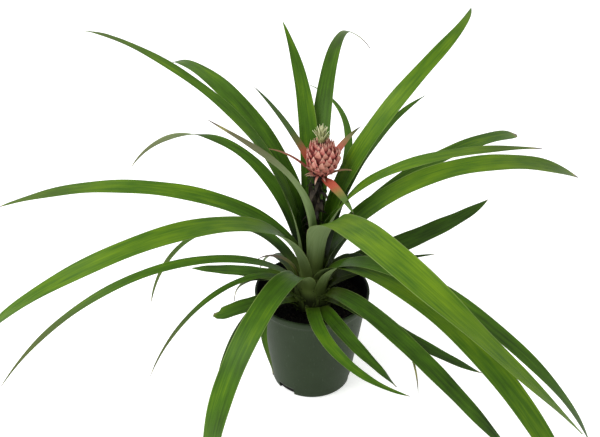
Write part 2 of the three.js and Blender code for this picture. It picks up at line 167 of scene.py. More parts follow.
def around(radius, bearing, height):
    """The point at a radius from the upright axis, a bearing in degrees and a height."""
    turn = math.radians(bearing)
    return np.array([radius * math.cos(turn), radius * math.sin(turn), height])


def scatter(*keys):
    """A repeatable number from 0 to 1 for each set of whole keys: the part after the
    point of a large multiple of a sine."""
    mixed = sum(np.asarray(key, float) * step for key, step in zip(keys, CHANCE_STEPS))
    return np.modf(np.abs(np.sin(mixed) * CHANCE_GAIN))[0]


def chances(key, first, count):
    """Several such numbers for one key."""
    return [scatter(key, first + n) for n in range(count)]


print("three chances:", np.round(chances(1, 0, 3), 3))

# %% [markdown]
# ## Tools for materials
# A material here is a small net of nodes. One function adds a node, sets its settings and
# links or fills its inputs. Colours are written as they look on a screen, and one
# function turns them into the even scale that the renderer works in.

# %% Colour and node helpers
def colour(code):
    """Screen colour "rrggbb" to linear red, green, blue, alpha."""
    screen = np.array([int(code[k:k + 2], 16) for k in (0, 2, 4)]) / 255
    linear = np.where(screen <= 0.04045, screen / 12.92, ((screen + 0.055) / 1.055) ** 2.4)
    return (*linear.tolist(), 1.0)


def new_material(name):
    """An empty net of nodes with a name."""
    material = bpy.data.materials.new(name)
    material.use_nodes = True
    material.node_tree.nodes.clear()
    return material


def add(material, kind, inputs=None, out=0, **settings):
    """Adds a node and gives back one of its outputs. An input is a value or an output."""
    node = material.node_tree.nodes.new(kind)
    for key, value in settings.items():
        setattr(node, key, value)
    for key, value in (inputs or {}).items():
        if isinstance(value, bpy.types.NodeSocket):
            material.node_tree.links.new(value, node.inputs[key])
        else:
            node.inputs[key].default_value = value
    return node.outputs[out] if node.outputs else None


print("middle grey is", round(colour("808080")[0], 3), "of white")

# %% Nodes for numbers
def stored(made, *keys):
    """The numbers kept on a mesh's points, by their names."""
    return [add(made, "ShaderNodeAttribute", out="Fac", attribute_name=key) for key in keys]


def maths(made, operation, *values, **settings):
    """One step of arithmetic on values or outputs."""
    return add(made, "ShaderNodeMath", dict(enumerate(values)), operation=operation, **settings)


def noise(made, place, scale, detail, rough=0.5):
    """Soft spots: the scale is how many there are in one unit of the place."""
    return add(made, "ShaderNodeTexNoise", {
        "Vector": place, "Scale": scale, "Detail": detail, "Roughness": rough})


def spread(made, value, low, high, most=1.0, least=0.0, curve="LINEAR"):
    """From the least at the low value to the most at the high one."""
    return add(made, "ShaderNodeMapRange", {
        "Value": value, "From Min": low, "From Max": high, "To Min": least, "To Max": most},
        interpolation_type=curve)


print("a number can be stored, worked out, random or spread")

# %% Nodes for colours, and the surface
def mix(made, share, first, second, **settings):
    """From the first colour to the second by a share; each is a code or an output."""
    pair = [colour(one) if isinstance(one, str) else one for one in (first, second)]
    return add(made, "ShaderNodeMix", {0: share, 6: pair[0], 7: pair[1]}, out=2,
               data_type="RGBA", **settings)


def cover(made, tint, curve, blends):
    """One colour over another, each (value, low, high, most, code): it covers nothing at
    the low value and its most at the high one."""
    for value, low, high, most, code in blends:
        tint = mix(made, spread(made, value, low, high, most, curve=curve), tint, code)
    return tint


def ramp(made, value, stops):
    """A colour for each place from 0 to 1, blended between them."""
    out = add(made, "ShaderNodeValToRGB", {"Fac": value})
    elements = out.node.color_ramp.elements
    elements[0].position, elements[-1].position = stops[0][0], stops[-1][0]
    for place, _ in stops[1:-1]:
        elements.new(place)
    for element, (_, code) in zip(elements, stops):
        element.color = colour(code)
    return out


def surface(made, tint, rough, specular, height, bump_mm, **more):
    """The last nodes: what the light meets, with a bump of a depth in millimetres."""
    bump = add(made, "ShaderNodeBump", {"Height": height, "Distance": bump_mm * MM})
    shader = add(made, "ShaderNodeBsdfPrincipled", {
        "Base Color": tint, "Roughness": rough, "Specular IOR Level": specular,
        "Normal": bump, **more})
    add(made, "ShaderNodeOutputMaterial", {0: shader})
    return made


print("white is", colour("ffffff"))

# %% [markdown]
# ## The leaf's finish
# A pineapple leaf is a thick strap with a waxy skin. Its upper face is a clean green and
# its underside is dusted with pale scales, so it looks grey. Fine veins run the whole
# length, about a millimetre apart. The lowest part of the blade is yellow-green, where
# light never reached it, and it is painted darker there too, as shade from the leaves
# above; the sheath's foot is painted near black, as shade between the sheaths. A thin
# pale line along each edge is a painted highlight, and old tips dry to a grey-brown thread.
# One image laid on every leaf would make them all the same. Here the colours come from
# numbers kept on the leaf's own points, such as the distance along and across it, so that
# the pattern follows each leaf round its bends and differs from one to the next.

# %% Greens and greys of a leaf
STREAK_SIZE = (1.82, 62.5)  # across and along the leaf
BLOTCH_SIZE = (14.3, 45.5)
SEED_STEP = 40.0  # takes each leaf to its own part of the noise
UNEVEN = 0.7  # how far streaks and blotches move the tone
FACE_EDGE = 0.1  # over how much of its rounding a leaf changes face


def leaf_greens(made, across, along, seed, tone, upper, greens, unders):
    """Above, a green by tone, made uneven by streaks that run along the leaf and broad
    blotches; below, streaked grey scales. Gives the colour, the streaks and the side."""
    spot = add(made, "ShaderNodeCombineXYZ", {0: across, 1: along, 2: seed})
    noises = []
    for (wide, long), detail in ((STREAK_SIZE, 3.0), (BLOTCH_SIZE, 2.0)):
        place = add(made, "ShaderNodeMapping", {
            "Vector": spot, "Scale": (1 / wide, 1 / long, SEED_STEP)})
        noises.append(noise(made, place, 1.0, detail))
        tone = maths(made, "MULTIPLY_ADD", noises[-1], UNEVEN, tone)
    # each noise has its middle at a half, so two halves are taken off again
    tone = maths(made, "SUBTRACT", tone, UNEVEN)
    side = spread(made, upper, -FACE_EDGE, FACE_EDGE, curve="SMOOTHSTEP")
    face = mix(made, side, mix(made, noises[0], *unders), ramp(made, tone, greens))
    return face, noises[0], side


print("streaks", STREAK_SIZE, "mm and blotches", BLOTCH_SIZE, "mm")

# %% Waxy pineapple leaf
VEIN_SPACING = 1.3  # drawn a little coarser than life, so that it shows
VEIN_SHARE, VEIN_HEIGHT = 0.35, 0.15
UNDER_ROUGH, UPPER_ROUGH = 0.62, 0.44
LEAF_NUMBERS = ("across_mm", "along_mm", "seed", "tone", "edge", "upper", "bronze", "dead")


def leaf_material(name, greens, unders, rim, base_and_shade, foot_shade, tan, straw, dried):
    """The greens, then one colour over another. Veins are a sine across the blade."""
    made = new_material(name)
    across, along, seed, tone, edge, upper, bronze, dead = stored(made, *LEAF_NUMBERS)
    face, streaks, side = leaf_greens(made, across, along, seed, tone, upper, greens, unders)
    # the pale line along each edge, a painted highlight; the yellow lower blade, painted
    # darker too as shade from the leaves above; the sheath's foot, painted near black as
    # shade between the sheaths; the bronze that some leaves take in strong light; and the dry
    # tip, through straw to brown
    face = cover(made, face, "SMOOTHSTEP", (
        (edge, 0.93, 0.99, 0.55, rim), (along, 55.0, 2.0, 0.75, base_and_shade),
        (along, 1.0, -15.0, 0.92, foot_shade), (bronze, 0.0, 1.0, 1.0, tan),
        (dead, 0.05, 0.45, 0.6, straw), (dead, 0.4, 0.75, 1.0, dried)))
    veins = maths(made, "SINE", maths(made, "MULTIPLY", across, 2 * math.pi / VEIN_SPACING))
    height = maths(made, "MULTIPLY_ADD", veins, VEIN_SHARE, streaks)
    # wax gives a soft sheen above, and the scales below scatter it
    rough = spread(made, side, 0, 1, UPPER_ROUGH, UNDER_ROUGH)
    return surface(made, face, rough, 0.15, height, VEIN_HEIGHT, IOR=1.45)


# the pale edge colour is a painted highlight, the yellow lower colour is partly painted shade, and the
# near-black foot colour is painted shade between the sheaths
LEAF = leaf_material("waxy pineapple leaf",
                     greens=((0.0, "172808"), (0.5, "3d600f"), (1.0, "678510")),
                     unders=("566a3e", "7c8d5e"), rim="93a65e", base_and_shade="4b5a1c",
                     foot_shade="161a09", tan="5a573f", straw="8f8a4c", dried="564c44")
print("material", LEAF.name, len(LEAF.node_tree.nodes), "nodes")

# %% [markdown]
# ## One blade
# Every leaf and bract is the same surface with other measures, so one pair of functions
# makes them all. A curve with a bevel could carry the section too, but it can't cup the
# blade, thin its edges or turn it over. Rows run along its path, and columns run once
# round its section, first over the upper face and then back under it.

# %% Path of a blade
PATH_STEPS = 12  # small steps walked between two rows
LEANS_BY = 0.3  # share of the length by which a blade has its full lean
TWIST_SPAN = (0.55, 0.85)  # shares between which a blade turns over
HOOK_FROM = 0.86  # share from which a dried tip curls


def blade_path(start, bearing, rise, droop, bend, length, swing, roll, rows, twist=0.0, hook=0.0):
    """Stations of a blade: share, point, sideways and upper-face directions. The slope is
    rise + (droop - rise) * share ** bend and the heading bearing + swing * share ** 2; a
    twist turns the blade over about its own length, and a hook curls its dried tip."""
    share = np.linspace(0, 1, rows)
    count = (rows - 1) * PATH_STEPS
    middle = (np.arange(count) + 0.5) / count

    def angles(s):
        """Slope and heading in radians at each share."""
        slope = np.radians(rise + (droop - rise) * s ** bend)
        return slope, np.radians(bearing + swing * s ** 2 + hook * smoothstep(s, HOOK_FROM, 1))

    slope, turn = angles(middle)
    steps = np.stack([np.cos(slope) * np.cos(turn), np.cos(slope) * np.sin(turn), np.sin(slope)], -1)
    walked = np.vstack([np.zeros(3), np.cumsum(steps, axis=0)[PATH_STEPS - 1::PATH_STEPS]])
    points = np.asarray(start, float) + walked * length / count
    slope, turn = angles(share)
    side = np.stack([-np.sin(turn), np.cos(turn), np.zeros(rows)], -1)
    up = np.stack([-np.sin(slope) * np.cos(turn), -np.sin(slope) * np.sin(turn), np.cos(slope)], -1)
    lean = roll * smoothstep(share, 0, LEANS_BY) + twist * smoothstep(share, *TWIST_SPAN)
    lean = -np.radians(lean)[:, None]
    across, face = side * np.cos(lean) + up * np.sin(lean), up * np.cos(lean) - side * np.sin(lean)
    return share, points, across, face


print("a level 100 mm ends at", blade_path((0, 0, 0), 0, 0, 0, 1, 100, 0, 0, 5)[1][-1].round(3))

# %% Surface of a blade
EDGE_SHARE = 0.35  # thickness of an edge, as a share of the middle's
TIP_SHARE = 0.75  # thickness at the tip, as a share of the foot's
WAVE_SPAN = (0.05, 0.3)  # shares between which the waves grow
# radians along a blade, radians for a seed of 1, size, and power of the place across
WAVES = ((31, 50, 1.0, 3), (17, 90, 0.6, 2))


def lens(across):
    """Share of the full thickness: 1 in the middle, falling with the square to the edge."""
    return EDGE_SHARE + (1 - EDGE_SHARE) * (1 - across ** 2)


def blade(path, half, cup, thick, columns=24, ripple=0.0, seed=0.0):
    """A thin lens carried along a path: column angle a gives the place across, cos a, and
    the height over the middle, sin a times the half thickness; edges lift by the cup."""
    share, points, side, up = path
    angle = full_turn(columns)
    across, over = np.cos(angle), np.sin(angle)
    body = (thick * lerp(1, TIP_SHARE, share))[:, None] * lens(across) / 2
    wave = sum(ripple * size * np.sin(share * run + seed * shift)[:, None] * across ** power
               for run, shift, size, power in WAVES)
    lift = cup[:, None] * across ** 2 + over * body + wave * smoothstep(share, *WAVE_SPAN)[:, None]
    grid = (points[:, None] + side[:, None] * (half[:, None] * across)[..., None]
            + up[:, None] * lift[..., None])
    return grid, across, over


print("a blade's section, middle to edge:", lens(np.array([0, 0.5, 1])))

# %% [markdown]
# ## The leaves
# A rosette could be grown by rule, but a real one is uneven, so each leaf has its own row
# in a table, named by where it lies. Bearings are like a compass turned so that 0 points
# right and 90 to the back. Rise and droop are the slopes at its foot and tip. A taper of
# 1 narrows all the way and 8 keeps its width almost to the tip. The last two numbers are
# for looks: tone from deep to bright green, partly each leaf's own colour and partly
# painted shade, set low for leaves that lie in the shade of others; and millimetres of
# dried tip.

# %% Table of leaves
LEAF_TERMS = ("name", "bearing", "root", "rise", "droop", "bend", "length", "swing", "width",
              "taper", "roll", "tone", "dry")
LEAVES = [dict(zip(LEAF_TERMS, row)) for row in [
    ("inner_pale", -24, 202, 88, 36, 1.9, 92, 5, 12, 2.4, 10, 0.5, 0),
    ("inner_front", -88, 200, 62, 10, 4.08, 327, -130, 9.8, 6, -16, 0.4, 20),
    ("inner_sliver", 147, 199, 88, 58, 2, 70, 4, 7, 2.4, 0, 0.4, 0),
    ("back_upright", 91, 196, 86, 52, 0.47, 302, 38, 27, 3.2, 3, 0.5, 0),
    ("back_curled_tip", 83, 193, 74, -52, 1.92, 418, -14, 29, 1.8, -2, 0.45, 24),
    ("left_upper", 179, 190, 82, -25, 0.49, 436, -8, 25.5, 4, 15, 0.6, 5),
    ("back_left_wide", 150, 188, 88, -34, 1.31, 403, -36, 31, 3, 11, 0.45, 0),
    ("front_right_large", -79, 184, 88, -41, 0.7, 574, 58, 37, 5, -12, 0.7, 0),
    ("right_narrow", -41, 182, 88, -21, 1.1, 397, 74, 23, 2.4, -16, 0.6, 18),
    ("back_right_long", 10, 182, 88, -6, 1.21, 447, 69, 33, 2.2, -10, 0.6, 0),
    ("back_left_long", 186, 178, 88, -18, 1.35, 486, -59, 27, 1.2, 14, 0.5, 6),
    ("back_small", 66, 176, 72, 2, 0.34, 352, 72, 14, 2.4, -1, 0.4, 0),
    ("left_arching", 136, 172, 87, -59, 0.97, 391, 35, 22, 1.3, 13, 0.45, 8),
    ("right_wide", 9, 172, 88, -34, 0.67, 426, 15, 29, 14, -14, 0.65, 12),
    ("left_main", -133, 172, 88, -58, 0.72, 563, -70, 29, 4, 14, 0.6, 0),
    ("front_right_second", -47, 170, 88, -62, 0.43, 529, 7, 34, 4, -12, 0.6, 0),
    ("back_right_dark", 30, 166, 87, 3, 1.37, 293, 15, 20, 2.4, -9, 0.35, 0),
    ("left_dried", 177, 164, 78, -43, 1.24, 74, 0, 6, 2.4, 14, 0.3, 60),
    ("right_torn", 25, 163, 83, -21, 0.64, 386, 21, 21, 40, -13, 0.5, 10),
    ("left_narrow", -159, 160, 58, -52, 0.71, 448, 4, 14, 3.6, 14, 0.5, 6),
    ("right_shade", 5, 160, 75, -43, 1.25, 80, -7, 17, 2.4, -12, 0.15, 0),
    ("right_lower", 17, 158, 30, 3, 0.41, 265, 30, 31, 3.2, -13, 0.4, 4),
    ("front_right_far", -51, 152, 88, -67, 0.64, 501, 51, 23, 4, -14, 0.4, 6),
    ("front_left_bright", -114, 156, 88, -100, 0.62, 396, -25, 30, 7, 7, 0.45, 0),
    ("left_short", 174, 152, 47, -12, 0.31, 148, -15, 19, 4, 14, 0.45, 0),
    ("right_shade_low", -11, 150, 70, -50, 1.34, 84, -7, 18, 2.4, -13, 0.1, 0),
    ("left_hanging", 131, 146, 88, -63, 0.44, 331, 122, 15, 2.4, 15, 0.45, 8),
    ("right_tiny", 14, 146, 31, -9, 0.71, 156, 8, 12, 2.4, -13, 0.3, 4),
    ("front_right_low", -49, 146, 88, -49, 0.28, 346, 35, 25, 5, -11, 0.3, 0),
    ("back_low", 88, 144, 62, -70, 0.8, 190, 12, 20, 2.4, 0, 0.4, 10),
    ("left_low_narrow", -143, 142, 88, -62, 0.66, 287, 2, 9.5, 2.4, 13, 0.45, 8),
    ("front_left_dark", -132, 140, 68, -76, 0.71, 219, 13, 18, 2.4, 10, 0.08, 0),
    ("right_under", -41, 141, 36, -29, 0.38, 234, 46, 18, 5, -13, 0.2, 6),
    ("back_low_right", 52, 138, 52, -72, 0.8, 130, -10, 18, 2.4, 0, 0.4, 10),
    ("back_low_left", 122, 136, 50, -70, 0.75, 135, 8, 19, 2.4, 0, 0.4, 10),
    ("left_blunt", -149, 136, 46, -18, 0.53, 123, -21, 22, 14, 12, 0.5, 4),
    ("left_dark_tip", 172, 136, 50, -94, 1.17, 113, 1, 11, 2.4, 12, 0.3, 14),
    ("right_thin", -38, 134, 42, -73, 1.05, 213, -43, 6, 2.4, -10, 0.2, 30),
    ("over_rim", -90, 131, 53, -29, 0.56, 246, 106, 18, 2.4, -9, 0.5, 6),
    ("over_rim_right", -74, 131, 46, -56, 0.8, 186, 80, 20, 3.5, -8, 0.3, 6),
    ("beside_pot", -138, 129, 58, -89, 0.97, 158, 130, 11, 2.4, 5, 0.45, 6),
]]
print("leaves", len(LEAVES))

# %% [markdown]
# A few leaves do more than bend. Two turn over about their own length, which shows the
# grey underside, one leans further towards its end, and two curl at the tip. Those that
# stood in strong light have turned bronze towards the tip, and the number says how much.

# %% Twists, hooks and bronze
TWISTS = {"front_right_large": 26, "left_arching": -115, "inner_front": -70}
HOOKS = {"back_curled_tip": -94, "left_blunt": -70}
BRONZE = {"left_narrow": 0.6, "left_low_narrow": 0.6, "inner_front": 0.9, "left_hanging": 0.5,
          "left_arching": 0.6, "left_upper": 0.35, "right_narrow": 0.4, "back_curled_tip": 0.35,
          "back_left_long": 0.4, "right_thin": 0.7, "right_wide": 0.25, "left_dark_tip": 0.7,
          "beside_pot": 0.4, "back_left_wide": 0.2}
print(len(TWISTS), "twists,", len(HOOKS), "hooks and", len(BRONZE), "bronzed leaves")

# %% [markdown]
# At its foot a leaf widens into a sheath that clasps the stem, and each lower sheath lies
# over the one above it. They could be cut to fit each other, but where they overlap only
# the outer one shows, so each simply lies a hair further out than the last.

# %% Sheath of a leaf
COLLAR_LOW, COLLAR_TOP = 128.0, 206.0
COLLAR_RADIUS_LOW, COLLAR_RADIUS_TOP = 25.0, 7.5
LEAF_SEAT, LEAF_HALF_THICK = 0.3, 0.85
SHEATH_LENGTH = 26.0  # how far a leaf's sheath runs down the stem
SHEATH_ROWS = 8
SHEATH_WRAP = 82.0  # degrees to each side that its lower end wraps
WRAP_POWER = 0.7  # below 1, so that the sheath widens soon
SHEATH_DROOP = 9.0  # how much further down its edges reach
SHEATH_HALF_THIN = 0.4  # half its thickness at the lower end
SHEATH_FOOT, FOOT_SPREAD = 112.0, 2.0  # sheaths end well down in the soil
SHEATH_LAYER, FIRST_LAYER = 0.05, 6  # each lower leaf clasps this far outside the last


def collar_radius(height):
    """Radius of the stem with the leaf bases that clasp it, at a height."""
    return lerp(COLLAR_RADIUS_LOW, COLLAR_RADIUS_TOP,
                np.clip((height - COLLAR_LOW) / (COLLAR_TOP - COLLAR_LOW), 0, 1))


def sheath_rows(bearing, root, radius, base_half, columns, layer):
    """Rows of sheath below a root: an arc on the collar that grows from the blade's own
    half angle to the wrap, with its edges drawn down; the layer is how proud its foot is."""
    down = np.linspace(1, 0, SHEATH_ROWS, endpoint=False)[:, None]
    across, over = np.cos(full_turn(columns)), np.sin(full_turn(columns))
    height = np.maximum(root - SHEATH_LENGTH * down - SHEATH_DROOP * down * across ** 2,
                        SHEATH_FOOT - FOOT_SPREAD * down)
    reach = lerp(math.asin(base_half / radius), math.radians(SHEATH_WRAP), down ** WRAP_POWER)
    turn = math.radians(bearing) + across * reach
    out = collar_radius(height) + lerp(radius - collar_radius(root), layer, down)
    out = out - over * lerp(LEAF_HALF_THICK, SHEATH_HALF_THIN, down) * lens(across)
    return np.stack([out * np.cos(turn), out * np.sin(turn), height], -1)


print("collar", collar_radius(COLLAR_LOW), "to", collar_radius(COLLAR_TOP), "mm")

# %% Outline of a leaf or bract
CLASP = 0.7  # a foot is never wider to a side than this share of a radius
WIDE_BY = 0.22  # share of the length by which a blade has its full width
TAPER_POWER = 0.8
CUP_FADE = 3  # the foot's cup has gone after a third of the length


def path_terms(row):
    """What a row of a table says about its path, in the order that a path takes it."""
    return [row[key] for key in ("bearing", "rise", "droop", "bend", "length", "swing", "roll")]


def seat_radius(inside, rise):
    """How far out a blade starts: clear of what it clasps by the seat, and by its own
    half thickness times the sine of its rise."""
    return inside + LEAF_SEAT + LEAF_HALF_THICK * math.sin(math.radians(rise))


def outline(share, width, taper, radius, cup):
    """Half width of the foot, and half width and cup at each share. The foot is an arc of
    the stem it clasps; the width swells from there to the full one and tapers with
    (1 - share ** taper) ** 0.8."""
    base_half = min(width / 2, radius * CLASP)
    base_cup = (radius - math.sqrt(radius ** 2 - base_half ** 2)) / base_half
    half = width * lerp(2 * base_half / width, 1, smoothstep(share, 0, WIDE_BY)) / 2
    half = half * (1 - share ** taper) ** TAPER_POWER
    return base_half, half, lerp(base_cup, cup, np.minimum(1, share * CUP_FADE))


print("half widths:", outline(np.linspace(0, 1, 5), 30, 4, 20, 0.1)[1].round(1))

# %% One whole leaf
LEAF_ROW, LEAF_COLUMNS = 4.5, 24  # length of one row along a leaf, and points round it
LEAF_THICK, LEAF_CUP = 1.5, 0.12
TIP_WIDTH, TIP_POWER, LEAST_HALF = 1.2, 8, 0.15
RIPPLE_SHARE, RIPPLE_MOST = 0.018, 0.5  # size of the waves: a share of the width, up to a most
# painted shade: a leaf at the back is darkened near its root, where the leaves in front shade it
ROOT_SHADE = 0.45  # how much darker a leaf at the back is near its root
ROOT_SHADE_SPAN = (20, 190)  # millimetres over which it comes back to its tone
BRONZE_SPAN = (0.45, 0.95)  # shares of the length over which bronze comes
DRY_SPREAD = 1.6  # dryness starts this many dried tips from the end


def leaf_parts(leaf, order):
    """A whole leaf: rows of sheath, then its blade, with the numbers its finish reads."""
    radius = seat_radius(collar_radius(leaf["root"]), leaf["rise"])
    start = around(radius, leaf["bearing"], leaf["root"])
    rows = max(16, round(leaf["length"] / LEAF_ROW))
    path = blade_path(start, *path_terms(leaf), rows, TWISTS.get(leaf["name"], 0),
                      HOOKS.get(leaf["name"], 0))
    share = path[0]
    base_half, half, cup = outline(share, leaf["width"], leaf["taper"], radius, LEAF_CUP)
    half = np.maximum(np.maximum(half, TIP_WIDTH / 2 * (1 - share ** TIP_POWER)), LEAST_HALF)
    seed = float(scatter(order, 3))
    ripple = min(RIPPLE_MOST, leaf["width"] * RIPPLE_SHARE)
    grid, across, over = blade(path, half, half * cup, LEAF_THICK, LEAF_COLUMNS, ripple, seed)
    below = sheath_rows(leaf["bearing"], leaf["root"], radius, base_half, LEAF_COLUMNS,
                        SHEATH_LAYER * (order + FIRST_LAYER))
    along = np.concatenate([np.linspace(-SHEATH_LENGTH, 0, SHEATH_ROWS, endpoint=False),
                            share * leaf["length"]])[:, None]
    widths = np.concatenate([np.full(SHEATH_ROWS, base_half), half])[:, None]
    # painted shade near the root of the leaves at the back
    behind = 0.5 + 0.5 * math.sin(math.radians(leaf["bearing"]))
    shade = ROOT_SHADE * behind * (1 - smoothstep(along, *ROOT_SHADE_SPAN))
    dead = 1 - (leaf["length"] - along) / max(leaf["dry"] * DRY_SPREAD, 0.01)
    bronze = BRONZE.get(leaf["name"], 0) * smoothstep(along / leaf["length"], *BRONZE_SPAN)
    return np.concatenate([below, grid]), {
        "across_mm": widths * across, "along_mm": along, "edge": np.abs(across), "upper": over,
        "tone": leaf["tone"] - shade, "seed": seed, "bronze": bronze,
        "dead": np.clip(dead, 0, 1) if leaf["dry"] else 0.0}


print(LEAVES[0]["name"], "has", len(leaf_parts(LEAVES[0], 0)[0]), "rows")

# %% All the leaves
leaves = [add_piece("blade_" + leaf["name"], [leaf_parts(leaf, order)], LEAF,
                    ["leaf_" + leaf["name"]]) for order, leaf in enumerate(LEAVES)]
print("leaves", len(leaves), "with", sum(triangles(leaf) for leaf in leaves), "triangles")

# %% [markdown]
# ## The stem
# Under the sheaths the stem is a short cone. It only shows as thin slits between the
# leaf bases, so modelling each old leaf scar would be lost on it. A lathe with soft rings
# where old leaves sat is enough, in a fleshy green that is a little blotched and dull.

# %% Lathe
def lathe(profile, sides):
    """Turns (radius, height) pairs round the upright axis."""
    radius, height = np.array(profile, float).T
    turn = full_turn(sides)
    return np.stack([np.outer(radius, np.cos(turn)), np.outer(radius, np.sin(turn)),
                     np.repeat(height[:, None], sides, axis=1)], -1)


print("a ring of 8 sides:", lathe([(1, 0), (1, 1)], 8).shape)

# %% A plain finish of two close colours
def plain_material(name, dark, light, rough, spot_mm, bump_mm, specular=0.5):
    """Two close colours blended by noise whose spots have a size in millimetres."""
    made = new_material(name)
    place = add(made, "ShaderNodeTexCoord", out="Object")
    spots = noise(made, place, 1 / (spot_mm * MM), 4.0, 0.6)
    tint = mix(made, spread(made, spots, 0.35, 0.65), dark, light)
    return surface(made, tint, rough, specular, spots, bump_mm)


STEM = plain_material("young pineapple stem", "3d4a1c", "76803c", 0.6, 5, 0.6)
print("material", STEM.name)

# %% Stem
STEM_FOOT, STEM_RADIUS = 62.0, 14.0
RING_SPACING, RING_HEIGHT = 7.0, 0.25

heights = np.linspace(COLLAR_LOW, COLLAR_TOP, 60)
rings = collar_radius(heights) + RING_HEIGHT * np.sin(heights * 2 * math.pi / RING_SPACING)
profile = [(STEM_RADIUS * 0.6, STEM_FOOT), (STEM_RADIUS, STEM_FOOT + 14),
           (STEM_RADIUS, COLLAR_LOW - 3.5)] + list(zip(rings, heights))
stem = add_piece("stem_core", [(lathe(profile, 48), {})], STEM, ["stem"])
print("stem", triangles(stem), "triangles")

# %% [markdown]
# ## The stalk
# The stalk is as thick as a pencil. The small leaves it carried have withered and hang
# down on it in dark, curled strands, so it looks ragged and wider than it is. A rough
# bump would not break its outline, so the strands are real: each is a narrow blade that
# rises, turns over and hangs, with its own length and twist.

# %% A small blade
FOOT_WIDTH, FULL_AT = 0.75, 0.35  # share of the width at the foot, and where it is widest
POINT_POWERS = (2.2, 0.9)
SMALL_LEAST_HALF = 0.12


def small_blade(start, bearing, rise, droop, bend, length, width, tone, roll=0.0, thick=0.8,
                rows=12, columns=10, cup=0.25):
    """A little blade: its width grows evenly from the foot to the full one, and falls to
    a point with (1 - share ** 2.2) ** 0.9."""
    path = blade_path(start, bearing, rise, droop, bend, length, 0, roll, rows)
    share = path[0]
    shape = np.minimum(1, lerp(FOOT_WIDTH, 1, share / FULL_AT))
    shape = shape * (1 - share ** POINT_POWERS[0]) ** POINT_POWERS[1]
    half = np.maximum(width / 2 * shape, SMALL_LEAST_HALF)
    return blade(path, half, half * cup, thick, columns)[0], {"along": share[:, None], "tone": tone}


print("a small blade:", small_blade((0, 0, 0), 0, 45, 0, 1, 20, 5, 0.5)[0].shape)

# %% A finish that changes along a small blade
STREAK_STRETCH = 0.3  # streaks are some three times as tall as wide
STREAK_WEIGHT = 0.8  # how far they lighten or darken it


def tinted_material(name, stops, shade, rough, bump_mm, streak_mm=1.0):
    """Colours at shares of the length, darkened towards a shade by the blade's own tone
    and by upright streaks."""
    made = new_material(name)
    along, tone = stored(made, "along", "tone")
    place = add(made, "ShaderNodeTexCoord", out="Object")
    stretch = add(made, "ShaderNodeMapping", {"Vector": place, "Scale": (1, 1, STREAK_STRETCH)})
    grain = noise(made, stretch, 1 / (streak_mm * MM), 3.0)
    uneven = maths(made, "MULTIPLY_ADD", grain, STREAK_WEIGHT, tone)
    light = maths(made, "SUBTRACT", uneven, STREAK_WEIGHT / 2, use_clamp=True)
    dimmer = mix(made, light, shade, "ffffff")
    tint = mix(made, 1.0, ramp(made, along, stops), dimmer, blend_type="MULTIPLY")
    return surface(made, tint, rough, 0.35, grain, bump_mm)


# withered leaves are papery, so they are brown, pale at the tip and hardly shine
WITHERED = tinted_material("withered stalk leaves", [
    (0.0, "332a22"), (0.5, "4a4034"), (1.0, "6e6450")], "40343a", 0.85, 0.5)
print("material", WITHERED.name)

# %% Core of the stalk
STALK_RADIUS = 4.6
STALK_FOOT = np.array([0.0, 0.0, 206.3])
STALK_TOP = np.array([8.5, 1.0, 322.5])
KNOB_SIZE = 0.1  # share of the radius by which the core is knobbly


def stalk_point(share):
    """The stalk's line: straight up at first, then leaning right with the square."""
    share = np.asarray(share, float)[..., None]
    return STALK_FOOT + (STALK_TOP - STALK_FOOT) * np.concatenate([share ** 2, share ** 2, share], -1)


levels = np.linspace(0, 1, 40)
turn = full_turn(20)
knobs = 1 + KNOB_SIZE * np.sin(levels[:, None] * 40 + turn * 3)
ring = np.stack([np.cos(turn) * np.ones_like(knobs), np.sin(turn) * np.ones_like(knobs), 0 * knobs], -1)
stalk_core = stalk_point(levels)[:, None] + ring * (STALK_RADIUS * knobs)[..., None]
print("stalk from", STALK_FOOT, "to", STALK_TOP)

# %% Withered strands
STRANDS = 52
STRANDS_FROM, STRANDS_SPAN = 0.2, 0.74  # shares of the stalk's height

parts = [(stalk_core, {"along": 0.3, "tone": 0.25})]
for k in range(STRANDS):
    foot = stalk_point(STRANDS_FROM + STRANDS_SPAN * k / (STRANDS - 1))
    bearing = k * GOLDEN_ANGLE
    chance = chances(k, 1, 3)
    if k % 2 == 0:  # every second strand lies up against the stalk
        shape = 72, 100, 1.4, lerp(20, 32, chance[1])
    else:  # and the others turn over and hang
        shape = 58, lerp(-60, -86, chance[0]), 0.5, lerp(12, 22, chance[1])
    parts.append(small_blade(foot + around(STALK_RADIUS - 1.2, bearing, 0), bearing, *shape,
                             lerp(5, 9, chance[2]), chance[1] * chance[2],
                             roll=lerp(-40, 40, chance[1]), rows=14))
stalk = add_piece("stalk_withered", parts, WITHERED, ["stalk"])
print("stalk", STRANDS, "strands,", triangles(stalk), "triangles")

# %% [markdown]
# ## The fruit
# A pineapple is many small fruits grown together. Each shows as one eye, a fleshy scale
# that lies on the fruit and lifts into a point. A pattern pressed into a plain barrel
# would leave its outline smooth, so every eye is its own small blade. They stand in rows,
# every second row half a step on, so that they make a slanted net. Each differs a little
# in size, in place and in how far it stands up, because a grown thing is never even.

# %% Barrel of the fruit
FRUIT_HEIGHT, FRUIT_RADIUS = 43.0, 17.6
BARREL_POWER = 0.62  # below 1, so that the sides are full and the ends round
FRUIT_BASE = STALK_TOP + np.array([3.5, 0.0, 0.3])


def fruit_radius(share):
    """Barrel: the sine of half a turn, to a power, over the share of the height."""
    return FRUIT_RADIUS * np.sin(math.pi * np.clip(share, 0.001, 0.999)) ** BARREL_POWER


